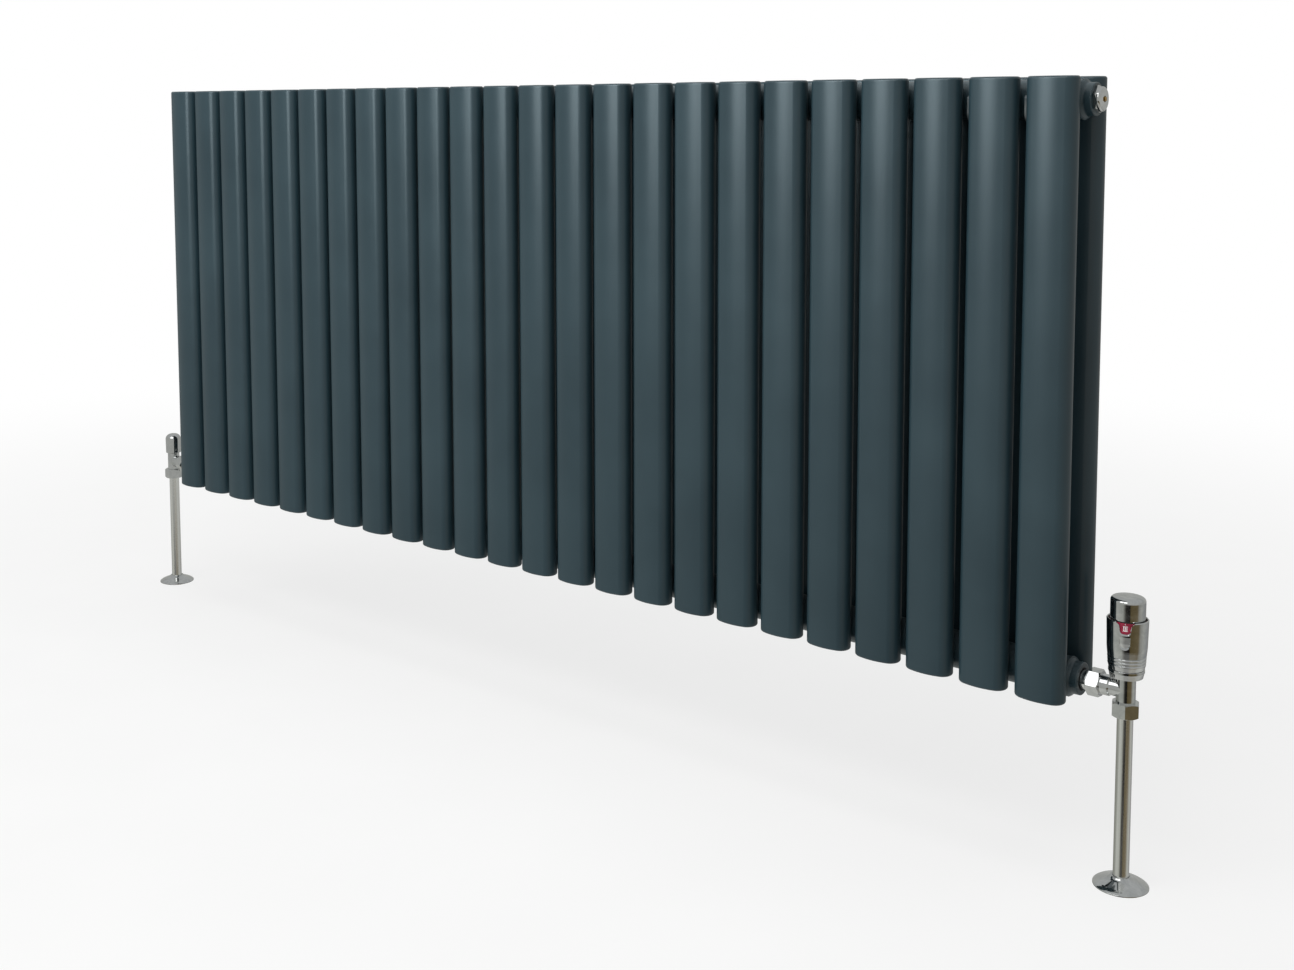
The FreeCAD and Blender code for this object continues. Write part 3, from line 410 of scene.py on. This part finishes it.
def spun_aluminium():
    """Spun aluminium of the sensing capsule: soft grey with spinning rings."""
    material, tree, shader, place = finish("spun_aluminium", Metallic=1.0)
    haze = node(tree, "ShaderNodeTexNoise", {"Vector": place, "Scale": 70.0, "Detail": 4.0})
    tint = node(tree, "ShaderNodeValToRGB", {"Fac": haze.outputs["Fac"]},
                stops=[(0.35, "#B5B7B8"), (0.65, "#CDCFD0")])
    tree.links.new(tint.outputs["Color"], shader.inputs["Base Color"])
    shine = node(tree, "ShaderNodeMapRange", {"Value": haze.outputs["Fac"], "To Min": 0.25, "To Max": 0.42})
    tree.links.new(shine.outputs[0], shader.inputs["Roughness"])
    tool_rings(tree, shader, place, 0.7)
    return material


def ground_stainless():
    """Ground stainless steel: neutral grey with fine rings from the grinding wheel."""
    material, tree, shader, place = finish("ground_stainless_steel", Metallic=1.0)
    haze = node(tree, "ShaderNodeTexNoise", {"Vector": place, "Scale": 150.0, "Detail": 3.0})
    tint = node(tree, "ShaderNodeValToRGB", {"Fac": haze.outputs["Fac"]},
                stops=[(0.35, "#A6A4A0"), (0.65, "#BDBBB7")])
    tree.links.new(tint.outputs["Color"], shader.inputs["Base Color"])
    shine = node(tree, "ShaderNodeMapRange", {"Value": haze.outputs["Fac"], "To Min": 0.18, "To Max": 0.32})
    tree.links.new(shine.outputs[0], shader.inputs["Roughness"])
    tool_rings(tree, shader, place, 0.3)
    return material


def printed_white():
    """White pad-printed ink: flat white, a touch uneven where it is thin."""
    return moulded("pad_printed_white_ink", "#E6DEDD", "#F7F4F3", 0.5, 0.62, 0.3, IOR=1.5)


MAKERS = {
    "radiator_paint": satin_powder_coat,
    "chrome_plate": bright_chrome,
    "brass": turned_brass,
    "seal_rubber": black_rubber,
    "liner_plastic": black_nylon,
    "zinc_plated_steel": zinc_plate,
    "dial_red": crimson_abs,
    "white_plastic": white_acetal,
    "sensor_aluminium": spun_aluminium,
    "stainless_steel": ground_stainless,
}


def dress_cad_nodes():
    """Gives every CAD node the material of its slot; the two pipes are drawn tube."""
    made = {slot: maker() for slot, maker in MAKERS.items()}
    tube = drawn_chrome_tube()
    slots = {part["node"]: part["material_slot"] for part in frame["record"]["subparts"]}
    for name, part in frame["nodes"].items():
        material = tube if name in ("pipe_right", "pipe_left") else made[slots[name]]
        for slot in part.material_slots:
            slot.material = material
    return made


# ---- pieces ----

def piece(name, shape, body, material, sharp=math.radians(35)):
    """Turns a finished bmesh into a piece that rides on a body."""
    bmesh.ops.recalc_face_normals(shape, faces=shape.faces)
    mesh = bpy.data.meshes.new(name)
    shape.to_mesh(mesh)
    shape.free()
    for polygon in mesh.polygons:
        polygon.use_smooth = True
    mesh.set_sharp_from_angle(angle=sharp)
    mesh.materials.append(material)
    made = bpy.data.objects.new(name, mesh)
    bpy.context.scene.collection.objects.link(made)
    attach(made, body)
    return made


def hoop(shape, sides, steps):
    """Adds a thin hoop of radius 1 about Z to a bmesh, as a spun circle, and returns its vertices."""
    start = bmesh.ops.create_circle(shape, segments=sides, radius=HOOP_SECTION)["verts"]
    bmesh.ops.rotate(shape, verts=start, matrix=Matrix.Rotation(math.pi / 2, 3, "X"))
    bmesh.ops.translate(shape, verts=start, vec=(1, 0, 0))
    edges = list({edge for vertex in start for edge in vertex.link_edges})
    known = set(shape.verts) - set(start)
    bmesh.ops.spin(shape, geom=start + edges, axis=UP, angle=FULL_TURN, steps=steps, use_merge=True)
    return [vertex for vertex in shape.verts if vertex not in known]


def bead(shape, path, thickness, ripples, sides=6, steps=48):
    """Adds a closed bead along path(angle), which gives a point, its outward and its upward direction."""
    ripple_share = 0.18
    for vertex in hoop(shape, sides, steps):
        angle = math.atan2(vertex.co.y, vertex.co.x)
        across = (math.hypot(vertex.co.x, vertex.co.y) - 1) / HOOP_SECTION
        along = vertex.co.z / HOOP_SECTION
        point, outward, upward = path(angle)
        swell = thickness * (1 + ripple_share * math.cos(ripples * angle))
        vertex.co = point + outward * across * swell + upward * along * swell


def saddle(centre, row_y):
    """Path where a column meets a header, seen along Y. The column's oval is taken as an ellipse."""
    side = 1 if row_y > centre.y else -1
    gap = abs(row_y - centre.y) - COLUMN_HALF_DEPTH

    def depth(x):
        return COLUMN_HALF_DEPTH * (1 - math.sqrt(max(0.0, 1 - (x / COLUMN_HALF_WIDTH) ** 2)))

    def path(angle):
        low, high = 0.0, HEADER_RADIUS
        for _ in range(24):     # halving 24 times finds the reach far closer than it shows
            reach = (low + high) / 2
            from_axis = math.hypot(gap + depth(reach * math.cos(angle)), reach * math.sin(angle))
            low, high = (reach, high) if from_axis < HEADER_RADIUS else (low, reach)
        x = low * math.cos(angle)
        z = low * math.sin(angle)
        outward = Vector((math.cos(angle), 0, math.sin(angle)))
        return centre + Vector((x, side * (gap + depth(x)), z)), outward, Vector((0, 1, 0))

    return path


def make_column_welds(material):
    """A fillet of weld all round each joint between a column and a header."""
    for label, header in (("top", TOP_HEADER), ("bottom", BOTTOM_HEADER)):
        for row, row_y in (("front", FRONT_ROW_Y), ("rear", REAR_ROW_Y)):
            shape = bmesh.new()
            for column in COLUMN_MIDDLES:
                centre = Vector((column.x, header.y, header.z))
                bead(shape, saddle(centre, row_y), COLUMN_WELD, ripples=22)
            piece(f"{row}_welds_{label}", shape, "radiator", material)


def make_boss_welds(material):
    """A ring of weld where each threaded bush closes a header's end."""
    sunk = 0.5 * MM
    shape = bmesh.new()
    for header in (TOP_HEADER, BOTTOM_HEADER):
        for side in (1, -1):
            def ring(angle, header=header, side=side):
                outward = Vector((0, math.cos(angle), math.sin(angle)))
                centre = Vector((side * TUBE_END_X, header.y, header.z))
                return centre + outward * (HEADER_RADIUS - sunk), outward, Vector((side, 0, 0))

            bead(shape, ring, BOSS_WELD, ripples=40, steps=120)
    piece("boss_welds", shape, "radiator", material)


def bar(shape, x, z, width, height):
    """Adds one printed stroke in the XZ plane, facing -Y."""
    block = bmesh.ops.create_cube(shape, size=1.0)["verts"]
    bmesh.ops.scale(shape, verts=block, vec=(width, INK, height))
    bmesh.ops.translate(shape, verts=block, vec=(x, 0, z))
    return block


def numeral_strokes(shape, label):
    """Strokes of one dial mark, centred on the origin: a zero, a frost star or a Roman numeral."""
    height = 5.0 * MM
    stroke = 0.75 * MM
    spacing = 1.45 * MM             # from one letter to the next
    if label == "0":
        half_width = 1.1 * MM
        for side in (-1, 1):
            bar(shape, side * half_width, 0, stroke, height - stroke)
        for side in (-1, 1):
            bar(shape, 0, side * (height - stroke) / 2, 2 * half_width, stroke)
        return
    if label == "*":
        share = 0.8                 # the star is a little smaller and thinner than the letters
        for turn in range(3):
            arm = bar(shape, 0, 0, stroke * share, height * share)
            bmesh.ops.rotate(shape, verts=arm, matrix=Matrix.Rotation(turn * math.pi / 3, 3, "Y"))
        return
    half_v = 0.6 * MM
    lean_angle = 0.24
    lean_stretch = 1.02             # a leaning stroke is longer, so that it reaches both bars
    serif = stroke * 0.7
    overhang = 0.8 * MM
    width = (len(label) - 1) * spacing + (2 * half_v if "V" in label else 0.0)
    x = -width / 2
    for letter in label:
        if letter == "I":
            bar(shape, x, 0, stroke, height)
        else:
            for lean in (-1, 1):
                arm = bar(shape, 0, 0, stroke, height * lean_stretch)
                bmesh.ops.rotate(shape, verts=arm, matrix=Matrix.Rotation(lean * lean_angle, 3, "Y"))
                bmesh.ops.translate(shape, verts=arm, vec=(x + half_v + lean * half_v, 0, 0))
        x += spacing
    for side in (-1, 1):
        bar(shape, 0, side * (height - serif) / 2, width + 2 * overhang, serif)


def make_gap_shade_ring(material):
    """Black ring on the drum's top edge, in the gap between the cap's foot and the sleeve: painted shade, a
    dark ring that stands in for the shadow in that gap.
    """
    inset = 0.28 * MM
    lift = 0.08 * MM
    thickness = 0.34 * MM
    low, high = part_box("trv_scale_drum")
    radius = (high.x - low.x) / 2 - inset
    centre = KNOB_AXIS + UP * (high.z + lift)

    def ring(angle):
        outward = Vector((math.cos(angle), math.sin(angle), 0))
        return centre + outward * radius, outward, UP

    shape = bmesh.new()
    bead(shape, ring, thickness, ripples=0, steps=96)
    piece("gap_shade_ring", shape, "thermostat_knob", material)


def make_stem_spring(material):
    """Return spring of the thermostatic valve, drawn at rest; the real spring shortens as the pin above it is
    pushed down.
    """
    shape = bmesh.new()
    shape.from_mesh(frame["nodes"]["trv_stem_spring"].data)
    bmesh.ops.remove_doubles(shape, verts=shape.verts, dist=0.001 * MM)
    spring = piece("stem_spring", shape, "radiator", material)
    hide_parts("trv_stem_spring")
    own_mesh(spring)


def make_dial(material):
    """Printed marks round the setting drum: each stands in the window when the knob is turned to it."""
    low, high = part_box("trv_scale_drum")
    radius = (high.x - low.x) / 2
    window = math.radians(14.0)
    step = math.radians(40.0)
    mark_height = (low.z + high.z) / 2 + 4.2 * MM
    tick_rise = 4.1 * MM            # from a mark's middle up to its tick's middle
    tick_width = 0.7 * MM
    tick_length = 1.2 * MM
    shape = bmesh.new()
    for place, label in enumerate(DIAL_MARKS):
        flat = bmesh.new()
        numeral_strokes(flat, label)
        bmesh.ops.subdivide_edges(flat, edges=flat.edges, cuts=2, use_grid_fill=True)
        bar(flat, 0, tick_rise, tick_width, tick_length)
        azimuth = window - (DIAL_MARKS.index(MARK_AT_REST) - place) * step
        for vertex in flat.verts:
            angle = azimuth + vertex.co.x / radius
            reach = radius - vertex.co.y
            vertex.co = KNOB_AXIS + Vector((reach * math.sin(angle), -reach * math.cos(angle),
                                            mark_height + vertex.co.z))
        mesh = bpy.data.meshes.new("mark")
        flat.to_mesh(mesh)
        flat.free()
        shape.from_mesh(mesh)
        bpy.data.meshes.remove(mesh)
    piece("dial_marks", shape, "thermostat_knob", material)


# ---- the scene ----

bpy.context.scene.view_settings.view_transform = "Standard"
make_camera()
make_world()
make_lights()
make_floor()
finishes = dress_cad_nodes()
make_column_welds(finishes["radiator_paint"])
make_boss_welds(finishes["radiator_paint"])
# a black ring that paints the shade in the gap round the cap's foot
make_gap_shade_ring(finishes["seal_rubber"])
make_stem_spring(finishes["stainless_steel"])
make_dial(printed_white())
